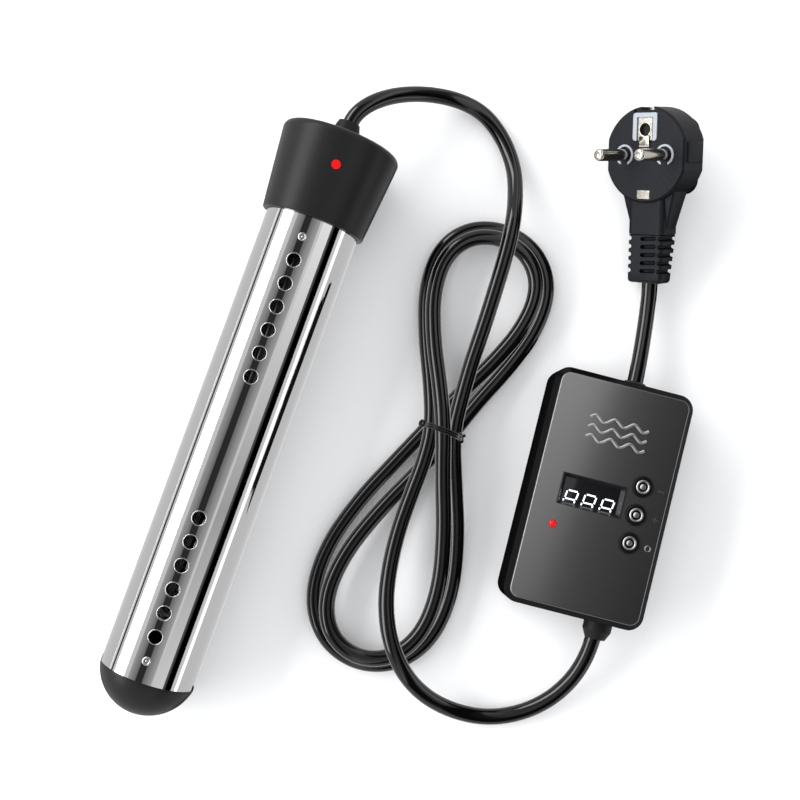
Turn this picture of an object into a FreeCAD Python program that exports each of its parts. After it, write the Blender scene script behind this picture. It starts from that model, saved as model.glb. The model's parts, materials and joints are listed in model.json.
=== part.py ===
"""Submersible aquarium heater: a perforated steel guard tube with its element and cap, an in-line
control box with a display and three buttons, and an earthed mains plug, joined by a tied lead.

Millimetres, +Z up, everything lying on the surface z = 0. +Y runs along the heater towards its cap.
The origin is on that surface, under the middle of the heater and the control box together."""
import FreeCAD, Part
import math
import os
from FreeCAD import Placement, Rotation, Vector as V

# ---- heater ----
TUBE_R, TUBE_WALL = 19.0, 0.6          # 38 mm stainless tube
SEAM = 94.4                            # half of the bare tube's length, from seam to seam
TUBE_IN_CAP = 9.0                      # how far the tube goes into the cap's skirt
HOLE_PITCH, HOLE_R = 9.55, 2.7         # water holes, in two groups of six along each row
HOLE_STEPS = range(3, 9)
ROW_ANGLES = (90, 210, 330)            # the first row faces up
RIVET_STEP = 9                         # the rivets carry the row of holes on by one pitch
RIVET_HEAD_R, RIVET_SHANK_R = 1.65, 1.2
CAP_TOP, CAP_CROWN = 130.0, 2.0        # the cap's upper rim, and its crown above that
CAP_R_LOW, CAP_R_HIGH = 21.0, 24.5
CAP_EDGE_R = 3.0
CAP_RIM_R = 24.2                       # the rounded rim's widest point, on which the cap lies
CHAMBER_R, CHAMBER_TOP = 18.2, 127.5   # dry space in the cap, over the end of the tube
DOME_TIP = -110.4
SPIGOT_R, SPIGOT_TOP = 18.3, -80.0
HEADER_LOW, HEADER_TOP = 80.0, 101.0
ELEMENT_R, LEG_X, LEG_Y = 3.0, 7.0, 7.0
ELEMENT_BEND = -66.0                   # where the hairpins' straight legs end
PROBE_R, PROBE_TIP = 2.5, 20.0
LAMP_UP, LAMP_TURN = 116.0, 7.4        # the cap's lamp: distance along the axis, degrees off the top
LAMP_R = 1.75
POTTING_TOP = 112.0
GLAND_R, GLAND_TIP = 6.0, 138.0
HEATER_X, HEATER_MID_Y = -76.5, -10.85  # middle of the bare tube
# the heater lies on its cap's rim and on the end of the tube, so its axis leans by this much
HEATER_LEAN = math.degrees(math.atan((CAP_RIM_R - TUBE_R) / (CAP_TOP - CAP_EDGE_R + SEAM)))

# ---- control box ----
BOX_W, BOX_L, BOX_H = 57.0, 96.0, 26.0
BOX_X, BOX_Y, BOX_TURN = 68.0, 19.85, 5.5
BOX_CORNER_R, WALL, BEVEL = 6.0, 2.2, 2.2
SPLIT_Z = 14.0                         # where the two covers meet
COVER_TOP = BOX_H - 1.0                # the face panel is 1 mm thick
CEILING = COVER_TOP - WALL
WINDOW_X, WINDOW_Y, WINDOW_W, WINDOW_H = -3.6, 0.3, 26.2, 12.7
GLASS_W, GLASS_H, GLASS_TOP = 22.5, 9.6, 23.8
DIGIT_X = (-11.4, -4.0, 3.4)
DIGIT_W, DIGIT_BAR = 4.6, 0.7
BUTTON_X, BUTTON_Y = 15.2, {"minus": 8.4, "plus": -3.0, "set": -14.4}
BUTTON_R, BUTTON_GAP, BUTTON_TOP, BUTTON_TRAVEL = 4.1, 0.15, 26.8, 0.6
LAMP_X, LAMP_Y, BOX_LAMP_R = -16.0, -14.3, 1.5
BOARD_Z, BOARD_T = 5.0, 1.6            # main board
PANEL_BOARD_Z = 12.6                   # board under the display and buttons
SWITCH_TOP = 19.3
BOSS_X, BOSS_Y, BOSS_R = 23.5, 40.0, 3.3
STANDOFFS = ((-20, -28), (20, -28), (-20, 28), (20, 28))
PANEL_POSTS = ((-6, 11), (6, 11), (-8, -20), (6, -20))
LEAD_Z = 13.0                          # height at which the leads enter the box
LOWER_GLAND_X, UPPER_GLAND_X = 13.5, 5.0
CLAMP_Y = 34.5

# ---- plug ----
PIN_SPACING, PIN_R, PIN_LENGTH = 19.0, 2.4, 19.0
PIN_ROOT_R, PIN_ROOT = 2.0, 10.0      # the part of each pin that is moulded into the body
FACE_R, FACE_WIDTH, PLUG_DEPTH = 19.25, 36.5, 14.0
STEM_W, STEM_T, STEM_END, STEM_MID = 17.0, 12.0, -32.0, -7.5
BOOT_END, BOOT_RIBS = -52.0, 5
EARTH_HOLE_R, EARTH_HOLE_Y, EARTH_DEPTH = 2.45, 10.0, 12.0
GRIP_BACK = -18.0
BOOT_TIP = (61.8, 112.35)              # where the lead comes out of the plug
PLUG_LIFT, STEM_HEADING, STEM_SLOPE = 42.0, -69.5, 14.5

# ---- lead ----
LEAD_R = 3.25                          # three-core flexible lead, 6.5 mm across
HEATER_LEAD = [(-76.5, 118.5, 24.25), (-76.5, 127.2, 24.45), (-74.8, 136.4, 24.0), (-70.4, 145.6, 21.6),
               (-62.6, 153.6, 17.2), (-51.4, 159.8, 11.2), (-38.4, 162.0, 5.8), (-25.6, 159.0, 3.5),
               (-14.4, 151.0, 3.4), (-6.6, 139.2, 6.2), (-2.4, 126.0, 12.2), (-0.6, 113.6, 18.6),
               (0.8, 101.0, 19.0), (1.6, 86.0, 15.4), (2.4, 70.0, 12.2), (2.6, 54.0, 11.0), (3.4, 40.0, 11.4)]
BOX_LEAD = [(-2.2, 10.0, 11.6), (-2.6, -4.0, 10.4), (-2.2, -19.0, 9.6), (-0.7, -34.0, 10.8), (2.6, -48.0,
                                                                                              14.4),
            (8.6, -60.8, 18.8), (18.0, -71.8, 18.4), (29.8, -79.6, 12.4), (43.6, -83.0, 5.8), (58.0, -81.4,
                                                                                               3.4),
            (70.0, -75.0, 3.8), (79.4, -65.8, 5.6), (85.2, -54.6, 8.2), (87.2, -43.0, 11.2), (86.6, -32.4,
                                                                                              12.8),
            (85.5, -22.0, 13.0), (84.8, -12.6, 12.7)]
PLUG_LEAD = [(69.75, 54.0, 12.7), (68.95, 62.4, 13.0), (68.05, 71.4, 13.0), (66.9, 81.0, 11.9), (65.7, 90.6,
                                                                                                 9.5),
             (64.4, 100.0, 7.0), (62.5, 109.4, 6.2), (59.3, 118.6, 8.4)]
HANK_H = 12.6
TIE_X, TIE_Y, TIE_Z, BUNDLE_R = 0.5, 24.4, 11.7, 9.1
TIE_WIRE_R = 1.1

parts = {}


# ---- helpers ----
def cylinder(radius, start, end, x=0.0, y=0.0):
    return Part.makeCylinder(radius, end - start, V(x, y, start))


def ring(outer, inner, start, end, x=0.0, y=0.0):
    return cylinder(outer, start, end, x, y).cut(cylinder(inner, start - 1, end + 1, x, y))


def rod(radius, start, end):
    """A round bar between two points."""
    start, end = V(*start), V(*end)
    return Part.makeCylinder(radius, (end - start).Length, start, end - start)


def block(x0, x1, y0, y1, z0, z1):
    return Part.makeBox(x1 - x0, y1 - y0, z1 - z0, V(x0, y0, z0))


def slab(width, length, corner, z0, z1, x=0.0, y=0.0):
    """A block with rounded upright edges, centred on x, y."""
    body = block(x - width / 2, x + width / 2, y - length / 2, y + length / 2, z0, z1)
    upright = [e for e in body.Edges if abs(e.tangentAt(e.FirstParameter).z) > 0.9]
    return body.makeFillet(corner, upright)


def turned(profile):
    """A solid of revolution about the Z axis, from points (radius, height)."""
    corners = [V(r, 0, h) for r, h in profile]
    return revolved(Part.makePolygon(corners + corners[:1]))


def revolved(outline):
    """The solid that a closed outline in the XZ plane sweeps about the Z axis."""
    solid = Part.Solid(Part.Face(outline).revolve(V(0, 0, 0), V(0, 0, 1), 360))
    if solid.Volume < 0:
        solid.reverse()
    return solid


def group(solids):
    return Part.makeCompound(solids)


def edges_at(body, z, radius=None):
    """The edges that lie flat at height z, of one radius if it is given."""
    flat = [e for e in body.Edges if e.BoundBox.ZLength < 1e-6 and abs(e.BoundBox.ZMin - z) < 1e-6]
    if radius is None:
        return flat
    return [e for e in flat if hasattr(e.Curve, "Radius") and abs(e.Curve.Radius - radius) < 1e-6]


def place(names, placement):
    for name in names:
        parts[name].Placement = placement.multiply(parts[name].Placement)


# ---- heater, built with its axis on Z, the cap at the top and +Y the side that faces up ----
def radial_holes(radius, steps, depth=9.0):
    """Holes through the tube's wall, at the given steps of the hole pitch in every row."""
    holes = []
    for angle in ROW_ANGLES:
        out = V(math.cos(math.radians(angle)), math.sin(math.radians(angle)), 0)
        for step in steps:
            start = out * (TUBE_R - depth / 2) + V(0, 0, step * HOLE_PITCH)
            holes.append(Part.makeCylinder(radius, depth, start, out))
    return group(holes)


def make_guard():
    steps = [sign * k for sign in (-1, 1) for k in HOLE_STEPS]
    tube = ring(TUBE_R, TUBE_R - TUBE_WALL, -SEAM, SEAM + TUBE_IN_CAP)
    tube = tube.cut(radial_holes(HOLE_R, steps))
    parts["guard_tube"] = tube.cut(radial_holes(RIVET_HEAD_R, (-RIVET_STEP, RIVET_STEP)))
    rivets = []
    for angle in ROW_ANGLES:
        out = V(math.cos(math.radians(angle)), math.sin(math.radians(angle)), 0)
        for end in (-1, 1):
            foot = V(0, 0, end * RIVET_STEP * HOLE_PITCH)
            inner_r = SPIGOT_R + 0.05
            head = Part.makeCylinder(RIVET_HEAD_R, TUBE_R + 0.12 - inner_r, foot + out * inner_r, out)
            shank = Part.makeCylinder(RIVET_SHANK_R, 3.6, foot + out * (inner_r - 3.6), out)
            rivets.append(head.fuse(shank).removeSplitter())
    parts["guard_rivets"] = group(rivets)


def make_end_cap():
    """A moulded plug with a domed end, riveted into the bottom of the tube."""
    rim = -SEAM - 1.0
    depth = rim - DOME_TIP
    dome_r = (TUBE_R ** 2 + depth ** 2) / (2 * depth)
    half_way = math.asin(TUBE_R / dome_r) / 2
    shoulder = V(dome_r * math.sin(half_way), 0, DOME_TIP + dome_r * (1 - math.cos(half_way)))
    outline = [Part.LineSegment(V(0, 0, -SEAM), V(TUBE_R, 0, -SEAM)),
               Part.LineSegment(V(TUBE_R, 0, -SEAM), V(TUBE_R, 0, rim)),
               Part.Arc(V(TUBE_R, 0, rim), shoulder, V(0, 0, DOME_TIP)),
               Part.LineSegment(V(0, 0, DOME_TIP), V(0, 0, -SEAM))]
    dome = revolved(Part.Wire([curve.toShape() for curve in outline]))
    spigot = ring(SPIGOT_R, SPIGOT_R - 4.2, -SEAM - 0.5, SPIGOT_TOP)
    cap = dome.fuse(spigot).removeSplitter()
    parts["end_cap"] = cap.cut(radial_holes(RIVET_SHANK_R, (-RIVET_STEP,)))


def leg_places():
    return [(x, y) for y in (-LEG_Y, LEG_Y) for x in (-LEG_X, LEG_X)]


def make_elements():
    hairpins = []
    for y in (-LEG_Y, LEG_Y):
        end = Part.Face(Part.Wire(Part.makeCircle(ELEMENT_R, V(LEG_X, y, ELEMENT_BEND))))
        bend = end.revolve(V(0, y, ELEMENT_BEND), V(0, 1, 0), 180)
        legs = [cylinder(ELEMENT_R, ELEMENT_BEND, HEADER_TOP + 0.5, x, y) for x in (-LEG_X, LEG_X)]
        hairpins.append(bend.fuse(legs).removeSplitter())
    parts["heating_elements"] = group(hairpins)
    top = HEADER_TOP + 0.5
    parts["element_insulators"] = group([ring(ELEMENT_R, 1.0, top, top + 2.5, x, y) for x, y in leg_places()])
    parts["element_terminals"] = group([cylinder(1.0, top, top + 6.5, x, y) for x, y in leg_places()])


def make_header():
    """The plug at the top of the tube that carries the element, the probe and the seal."""
    header = cylinder(SPIGOT_R, HEADER_LOW, HEADER_TOP)
    bores = [cylinder(ELEMENT_R + 0.02, HEADER_LOW - 1, HEADER_TOP + 1, x, y) for x, y in leg_places()]
    bores.append(cylinder(PROBE_R + 0.02, HEADER_LOW - 1, HEADER_TOP + 1))
    seal_z, seal_r = 95.0, 0.95
    groove = ring(SPIGOT_R + 1, SPIGOT_R - 1.8, seal_z - 1.1, seal_z + 1.1)
    header = header.cut(group(bores)).cut(groove).cut(radial_holes(RIVET_SHANK_R, (RIVET_STEP,)))
    parts["element_header"] = header
    parts["header_seal"] = Part.makeTorus(TUBE_R - TUBE_WALL - seal_r, seal_r - 0.02, V(0, 0, seal_z))


def make_probe():
    tube = cylinder(PROBE_R, PROBE_TIP, HEADER_TOP + 2).cut(cylinder(PROBE_R - 0.5, PROBE_TIP + 1,
                                                                     HEADER_TOP + 3))
    parts["sensor_probe"] = tube.makeFillet(1.5, edges_at(tube, PROBE_TIP))
    bead = cylinder(1.7, PROBE_TIP + 2, PROBE_TIP + 9)
    lead = cylinder(0.6, PROBE_TIP + 9, HEADER_TOP + 5)
    parts["temperature_sensor"] = bead.fuse(lead).removeSplitter()


def make_cap_insides():
    low = HEADER_TOP
    parts["thermal_cutout"] = block(-4.5, 4.5, -15.5, -10.6, low, low + 9.5)
    tag = block(-16.5, -11.0, -2.5, 2.5, low, low + 0.8).fuse(cylinder(1.6, low, low + 4.5, -13.5, 0))
    parts["earth_tag"] = tag.removeSplitter()
    ends = {(1.7, 0.6): (LEG_X, LEG_Y, low + 7.6), (0.2, -1.8): (LEG_X, -LEG_Y, low + 7.6),
            (-1.7, 0.8): (-13.5, 0, low + 5.2)}
    wires = [rod(0.8, (x, y, 117.9), end) for (x, y), end in ends.items()]
    parts["heater_wires"] = group(wires)
    board = block(-6, 6, 15.0, 16.2, POTTING_TOP - 3, POTTING_TOP + 12)
    chip = block(-1.5, 1.5, 16.2, 16.9, LAMP_UP - 1.5, LAMP_UP + 1.5)
    lamp_board = board.fuse(chip).removeSplitter()
    lamp_board.rotate(V(0, 0, 0), V(0, 0, 1), LAMP_TURN)
    parts["cap_lamp_board"] = lamp_board
    lens = Part.makeCylinder(LAMP_R, cap_radius(LAMP_UP) - 17.0 - 0.2, V(0, 17.0, LAMP_UP), V(0, 1, 0))
    lens = lens.fuse(Part.makeCylinder(2.6, 1.0, V(0, 17.0, LAMP_UP), V(0, 1, 0))).removeSplitter()
    lens.rotate(V(0, 0, 0), V(0, 0, 1), LAMP_TURN)
    parts["cap_lamp_lens"] = lens
    held = ["thermal_cutout", "earth_tag", "heater_wires", "cap_lamp_board", "sensor_probe",
            "temperature_sensor",
            "element_insulators", "element_terminals", "heating_elements"]
    potting = cylinder(CHAMBER_R - 0.1, low, POTTING_TOP)
    potting = potting.cut(cylinder(PROBE_R, low - 1, low + 2)).cut(group([parts[name] for name in held]))
    parts["cap_potting"] = potting


def cap_radius(up):
    """The cap's outer radius at a distance along the axis."""
    return CAP_R_LOW + (CAP_R_HIGH - CAP_R_LOW) * (up - SEAM) / (CAP_TOP - SEAM)


def make_cap():
    top = CAP_TOP + CAP_CROWN
    outline = [Part.LineSegment(V(0, 0, SEAM), V(CAP_R_LOW, 0, SEAM)),
               Part.LineSegment(V(CAP_R_LOW, 0, SEAM), V(CAP_R_HIGH, 0, CAP_TOP)),
               Part.Arc(V(CAP_R_HIGH, 0, CAP_TOP), V(CAP_R_HIGH / 2, 0, top - CAP_CROWN / 4), V(0, 0, top)),
               Part.LineSegment(V(0, 0, top), V(0, 0, SEAM))]
    cap = revolved(Part.Wire([curve.toShape() for curve in outline]))
    cap = cap.makeFillet(CAP_EDGE_R, edges_at(cap, CAP_TOP, CAP_R_HIGH))
    cap = cap.makeFillet(0.6, edges_at(cap, SEAM, CAP_R_LOW))
    tube_end = SEAM + TUBE_IN_CAP
    cap = cap.cut(cylinder(TUBE_R + 0.05, SEAM - 1, tube_end)).cut(cylinder(CHAMBER_R, SEAM, CHAMBER_TOP))
    cap = cap.cut(cylinder(GLAND_R + 0.02, CHAMBER_TOP - 1, top + 1))
    groove_z = SEAM + 6
    cap = cap.cut(cylinder(TUBE_R + 1.35, groove_z - 0.8, groove_z + 0.8))
    parts["cap_seal_ring"] = Part.makeTorus(TUBE_R + 0.68, 0.65, V(0, 0, groove_z))
    lamp_hole = Part.makeCylinder(LAMP_R + 0.03, 14, V(0, 15, LAMP_UP), V(0, 1, 0))
    dish_r, dish_depth = 4.5, 0.3
    sphere_r = (dish_r ** 2 + dish_depth ** 2) / (2 * dish_depth)
    dish = Part.makeSphere(sphere_r, V(0, cap_radius(LAMP_UP) - dish_depth + sphere_r, LAMP_UP))
    for cutter in (lamp_hole, dish):
        cutter.rotate(V(0, 0, 0), V(0, 0, 1), LAMP_TURN)
        cap = cap.cut(cutter)
    parts["top_cap"] = cap


def make_lead_gland():
    """A rubber strain relief, tapered outside and flanged under the cap's top."""
    bore, wall_top = LEAD_R + 0.05, CAP_TOP + CAP_CROWN
    parts["lead_gland"] = turned([
        (bore, CHAMBER_TOP - 9), (GLAND_R - 0.8, CHAMBER_TOP - 9), (GLAND_R,
                                                                    CHAMBER_TOP - 3), (GLAND_R + 2.5,
                                                                                       CHAMBER_TOP - 3),
        (GLAND_R + 2.5, CHAMBER_TOP), (GLAND_R, CHAMBER_TOP), (GLAND_R, wall_top + 0.8), (4.4,
                                                                                          GLAND_TIP), (bore,
                                                                                                       GLAND_TIP)])


def make_heater():
    before = set(parts)
    make_guard()
    make_end_cap()
    make_elements()
    make_header()
    make_probe()
    make_cap_insides()
    make_cap()
    make_lead_gland()
    names = [name for name in parts if name not in before]
    lean = math.radians(HEATER_LEAN)
    turn = Rotation(V(-1, 0, 0), V(0, -math.sin(lean), math.cos(lean)), V(0, math.cos(lean),
                                                                          math.sin(lean)), "ZXY")
    place(names, Placement(V(0, 0, 0), turn))
    low = min(parts[name].optimalBoundingBox().ZMin for name in ("top_cap", "end_cap", "guard_tube"))
    place(names, Placement(V(HEATER_X, HEATER_MID_Y, -low), Rotation()))


# ---- control box, built about its own middle with its back on z = 0 ----
def boss_places():
    return [(x, y) for x in (-BOSS_X, BOSS_X) for y in (-BOSS_Y, BOSS_Y)]


def lead_way(x, sign, radius):
    """A round way through one end wall of the box, at the height of the leads."""
    return rod(radius, (x, sign * (BOX_L / 2 - 10), LEAD_Z), (x, sign * (BOX_L / 2 + 10), LEAD_Z))


def lead_ways():
    return group([lead_way(LOWER_GLAND_X, -1, 5.02), lead_way(UPPER_GLAND_X, 1, 5.02)])


def clamp_posts():
    ways = ((LOWER_GLAND_X, -1), (UPPER_GLAND_X, 1))
    return [(x + side * 6.4, sign * CLAMP_Y) for x, sign in ways for side in (-1, 1)]


def make_rear_cover():
    shell = slab(BOX_W, BOX_L, BOX_CORNER_R, 0, SPLIT_Z)
    shell = shell.makeFillet(1.2, edges_at(shell, 0))
    shell = shell.cut(slab(BOX_W - 2 * WALL, BOX_L - 2 * WALL, BOX_CORNER_R - WALL, WALL, SPLIT_Z + 1))
    bosses = [cylinder(BOSS_R, WALL - 0.5, SPLIT_Z, x, y) for x, y in boss_places()]
    bosses += [cylinder(2.5, WALL - 0.5, BOARD_Z, x, y) for x, y in STANDOFFS]
    bosses += [cylinder(1.8, WALL - 0.5, LEAD_Z + LEAD_R, x, y) for x, y in clamp_posts()]
    shell = shell.fuse(bosses).removeSplitter()
    holes = [cylinder(1.6, -1, SPLIT_Z + 1, x, y) for x, y in boss_places()]
    holes += [cylinder(3.0, -1, 4.0, x, y) for x, y in boss_places()]
    holes += [cylinder(1.1, 2.6, BOARD_Z + 1, x, y) for x, y in STANDOFFS]
    holes += [cylinder(0.9, 6, LEAD_Z + LEAD_R + 1, x, y) for x, y in clamp_posts()]
    seal = seal_ring()
    parts["box_rear_cover"] = shell.cut(group(holes)).cut(seal).cut(lead_ways())
    parts["box_seal"] = seal.cut(lead_ways())


def seal_ring():
    """The gasket that fills a groove in the rear cover's rim."""
    outside = slab(BOX_W - 1.4, BOX_L - 1.4, BOX_CORNER_R - 0.7, SPLIT_Z - 0.8, SPLIT_Z)
    return outside.cut(slab(BOX_W - 3.0, BOX_L - 3.0, BOX_CORNER_R - 1.5, SPLIT_Z - 2, SPLIT_Z + 1))


def face_openings(low, high):
    """The ways through the front for the display, the lamp and the buttons."""
    openings = [block(WINDOW_X - WINDOW_W / 2 - 0.05, WINDOW_X + WINDOW_W / 2 + 0.05,
                      WINDOW_Y - WINDOW_H / 2 - 0.05, WINDOW_Y + WINDOW_H / 2 + 0.05, low, high),
                cylinder(BOX_LAMP_R + 0.1, low, high, LAMP_X, LAMP_Y)]
    openings += [cylinder(BUTTON_R + BUTTON_GAP, low, high, BUTTON_X, y) for y in BUTTON_Y.values()]
    return group(openings)


def make_front_cover():
    shell = slab(BOX_W, BOX_L, BOX_CORNER_R, SPLIT_Z, COVER_TOP)
    shell = shell.makeChamfer(BEVEL, edges_at(shell, COVER_TOP))
    shell = shell.cut(slab(BOX_W - 2 * WALL - 1.6, BOX_L - 2 * WALL - 1.6, BOX_CORNER_R - WALL, SPLIT_Z - 1,
                           CEILING))
    posts = [cylinder(BOSS_R, SPLIT_Z, CEILING + 0.5, x, y) for x, y in boss_places()]
    posts += [cylinder(2.0, PANEL_BOARD_Z + BOARD_T, CEILING + 0.5, x, y) for x, y in PANEL_POSTS]
    shell = shell.fuse(posts).removeSplitter()
    holes = [cylinder(1.3, SPLIT_Z - 1, CEILING - 1.5, x, y) for x, y in boss_places()]
    holes += [cylinder(0.9, PANEL_BOARD_Z, CEILING - 2, x, y) for x, y in PANEL_POSTS]
    parts["box_front_cover"] = shell.cut(group(holes)).cut(face_openings(SPLIT_Z, BOX_H)).cut(lead_ways())
    panel = slab(BOX_W - 2 * BEVEL, BOX_L - 2 * BEVEL, BOX_CORNER_R - BEVEL, COVER_TOP, BOX_H)
    panel = panel.makeFillet(0.6, edges_at(panel, BOX_H))
    parts["face_panel"] = panel.cut(face_openings(COVER_TOP - 1, BOX_H + 1))


def make_display():
    x0, x1 = WINDOW_X - WINDOW_W / 2, WINDOW_X + WINDOW_W / 2
    y0, y1 = WINDOW_Y - WINDOW_H / 2, WINDOW_Y + WINDOW_H / 2
    frame = block(x0, x1, y0, y1, CEILING - 0.8, BOX_H + 0.1)
    gx, gy = GLASS_W / 2, GLASS_H / 2
    mouth = []
    for grow, height in ((0.0, GLASS_TOP), (1.45, BOX_H + 0.2)):
        corners = [V(WINDOW_X + sx * (gx + grow), WINDOW_Y + sy * (gy + grow), height)
                   for sx, sy in ((-1, -1), (1, -1), (1, 1), (-1, 1))]
        mouth.append(Part.makePolygon(corners + corners[:1]))
    throat = block(WINDOW_X - gx, WINDOW_X + gx, WINDOW_Y - gy, WINDOW_Y + gy, CEILING - 2, GLASS_TOP)
    parts["display_bezel"] = frame.cut(Part.makeLoft(mouth, True, True)).cut(throat)
    glass_low = GLASS_TOP - 0.8
    parts["display_window"] = block(WINDOW_X - gx, WINDOW_X + gx, WINDOW_Y - gy, WINDOW_Y + gy, glass_low,
                                    GLASS_TOP)
    parts["display_module"] = block(WINDOW_X - gx, WINDOW_X + gx, WINDOW_Y - gy, WINDOW_Y + gy,
                                    PANEL_BOARD_Z + BOARD_T, glass_low)
    bars = []
    bottom, middle, top = WINDOW_Y - gy + 0.1, WINDOW_Y - 3.6, WINDOW_Y - 0.3
    for x in DIGIT_X:
        half = DIGIT_W / 2
        for y in (middle, top):
            bars.append(block(x - half + 0.6, x + half - 0.6, y - DIGIT_BAR / 2, y + DIGIT_BAR / 2,
                              GLASS_TOP, GLASS_TOP + 0.1))
        for side in (-1, 1):
            bar_x = x + side * (half - DIGIT_BAR / 2)
            for y0, y1 in ((bottom, middle - 0.25), (middle + 0.25, top - 0.1)):
                bars.append(block(bar_x - DIGIT_BAR / 2, bar_x + DIGIT_BAR / 2, y0, y1, GLASS_TOP,
                                  GLASS_TOP + 0.1))
    parts["display_digits"] = group(merge_touching(bars))


def merge_touching(solids):
    """Joins solids that overlap, so that no two in a group share space."""
    merged = solids[0].multiFuse(solids[1:]).removeSplitter()
    return merged.Solids


def make_buttons():
    for name, y in BUTTON_Y.items():
        cap = cylinder(BUTTON_R, CEILING - 0.6, BUTTON_TOP, BUTTON_X, y)
        cap = cap.makeFillet(0.6, edges_at(cap, BUTTON_TOP))
        flange = cylinder(BUTTON_R + 0.9, CEILING - 1.05, CEILING - 0.05, BUTTON_X, y)
        stem = cylinder(2.0, SWITCH_TOP + BUTTON_TRAVEL + 0.05, CEILING - 1.0, BUTTON_X, y)
        parts["button_" + name] = cap.fuse([flange, stem]).removeSplitter()
    base = PANEL_BOARD_Z + BOARD_T
    switches = []
    for y in BUTTON_Y.values():
        body = block(BUTTON_X - 3, BUTTON_X + 3, y - 3, y + 3, base, base + 3.5)
        switches.append(body.fuse(cylinder(1.75, base + 3.4, SWITCH_TOP, BUTTON_X, y)).removeSplitter())
    parts["tact_switches"] = group(switches)
    lamp = cylinder(BOX_LAMP_R, base, BOX_H + 0.5, LAMP_X, LAMP_Y)
    parts["indicator_lamp"] = lamp.makeFillet(1.2, edges_at(lamp, BOX_H + 0.5))


def make_boards():
    board = block(-24, 24, -38, 38, BOARD_Z, BOARD_Z + BOARD_T)
    notches = [cylinder(BOSS_R + 0.6, 0, 10, x, y) for x, y in boss_places()]
    notches += [cylinder(2.4, 0, 10, x, y) for x, y in clamp_posts()]
    holes = [cylinder(1.1, 0, 10, x, y) for x, y in STANDOFFS]
    parts["main_board"] = board.cut(group(notches + holes))
    panel_board = block(-22, 22, -23, 13.5, PANEL_BOARD_Z, PANEL_BOARD_Z + BOARD_T)
    parts["display_board"] = panel_board.cut(group([cylinder(0.9, 10, 20, x, y) for x, y in PANEL_POSTS]))
    top = BOARD_Z + BOARD_T
    parts["board_connector"] = block(-12, 8, 3, 5.5, top, PANEL_BOARD_Z)
    parts["power_relay"] = slab(19, 15.4, 0.8, top, top + 13.2, -7.5, 24)
    film = slab(10, 9, 1.0, top, top + 11, -3.5, -31)
    parts["supply_capacitors"] = group([film, cylinder(4.0, top, top + 11.5, -13.5, -33)])
    blocks = []
    for x, y in ((11, 27), (9.5, -26)):
        body = block(x - 6.5, x + 6.5, y - 4, y + 4, top, top + 5.6)
        screws = [cylinder(1.4, top + 3.5, top + 6, x + dx, y) for dx in (-4.2, 0, 4.2)]
        blocks.append(body.cut(group(screws)))
    parts["terminal_blocks"] = group(blocks)
    fuse_y, fuse_z = 17.5, top + 3.6
    parts["mains_fuse"] = rod(2.5, (3, fuse_y, fuse_z), (21, fuse_y, fuse_z))
    clips = [block(x, x + 3, fuse_y - 3.2, fuse_y + 3.2, top, fuse_z + 1.2) for x in (3.5, 17.5)]
    parts["fuse_clips"] = group([clip.cut(parts["mains_fuse"]) for clip in clips])
    main = [cylinder(1.1, 2.6, top, x, y).fuse(cylinder(2.2, top, top + 1.4, x, y)) for x, y in STANDOFFS]
    small = [cylinder(0.9, PANEL_BOARD_Z, CEILING - 4, x, y).fuse(cylinder(1.8, PANEL_BOARD_Z - 1.2,
                                                                           PANEL_BOARD_Z, x, y))
             for x, y in PANEL_POSTS]
    parts["board_screws"] = group([screw.removeSplitter() for screw in main + small])


def make_box_fixings():
    screws = []
    for x, y in boss_places():
        head = cylinder(2.8, 1.8, 4.0, x, y).cut(block(x - 2, x + 2, y - 0.4, y + 0.4, 1, 2.6))
        screws.append(head.cut(block(x - 0.4, x + 0.4, y - 2, y + 2, 1, 2.6)).fuse(cylinder(1.3, 4.0,
                                                                                            CEILING - 2, x, y)))
    parts["box_screws"] = group([screw.removeSplitter() for screw in screws])
    clamps = []
    posts = clamp_posts()
    for left, right in (posts[:2], posts[2:]):
        low = LEAD_Z + LEAD_R
        bar = block(left[0] - 2.2, right[0] + 2.2, left[1] - 2.2, left[1] + 2.2, low, low + 2.0)
        shanks = [cylinder(0.9, 7, low + 2, x, y) for x, y in (left, right)]
        heads = [cylinder(1.8, low + 2, low + 3.2, x, y) for x, y in (left, right)]
        clamps.append(bar.fuse(shanks + heads).removeSplitter())
    parts["lead_clamps"] = group(clamps)


def box_gland(x, sign, outside, collar_r):
    """A rubber sleeve round a lead where it passes the end wall, with a waist that grips the wall."""
    bore, wall = LEAD_R + 0.05, BOX_L / 2
    tip_r = 4.1
    sleeve = turned([(bore, -10), (5.0, -10), (5.0, -4.6), (6.0, -4.6), (6.0, -WALL - 0.85), (5.0,
                                                                                              -WALL - 0.85),
                     (5.0, 0.02), (collar_r, 0.02), (collar_r, outside * 0.5), (tip_r, outside), (bore,
                                                                                                  outside)])
    sleeve.Placement = Placement(V(x, sign * wall, LEAD_Z), Rotation(V(1, 0, 0), -90 * sign))
    return sleeve


def make_box():
    before = set(parts)
    make_rear_cover()
    make_front_cover()
    make_display()
    make_buttons()
    make_boards()
    make_box_fixings()
    parts["heater_lead_gland"] = box_gland(LOWER_GLAND_X, -1, 7.0, 5.8)
    parts["mains_lead_gland"] = box_gland(UPPER_GLAND_X, 1, 1.6, 5.2)
    names = [name for name in parts if name not in before]
    place(names, Placement(V(BOX_X, BOX_Y, 0), Rotation(V(0, 0, 1), BOX_TURN)))


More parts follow.
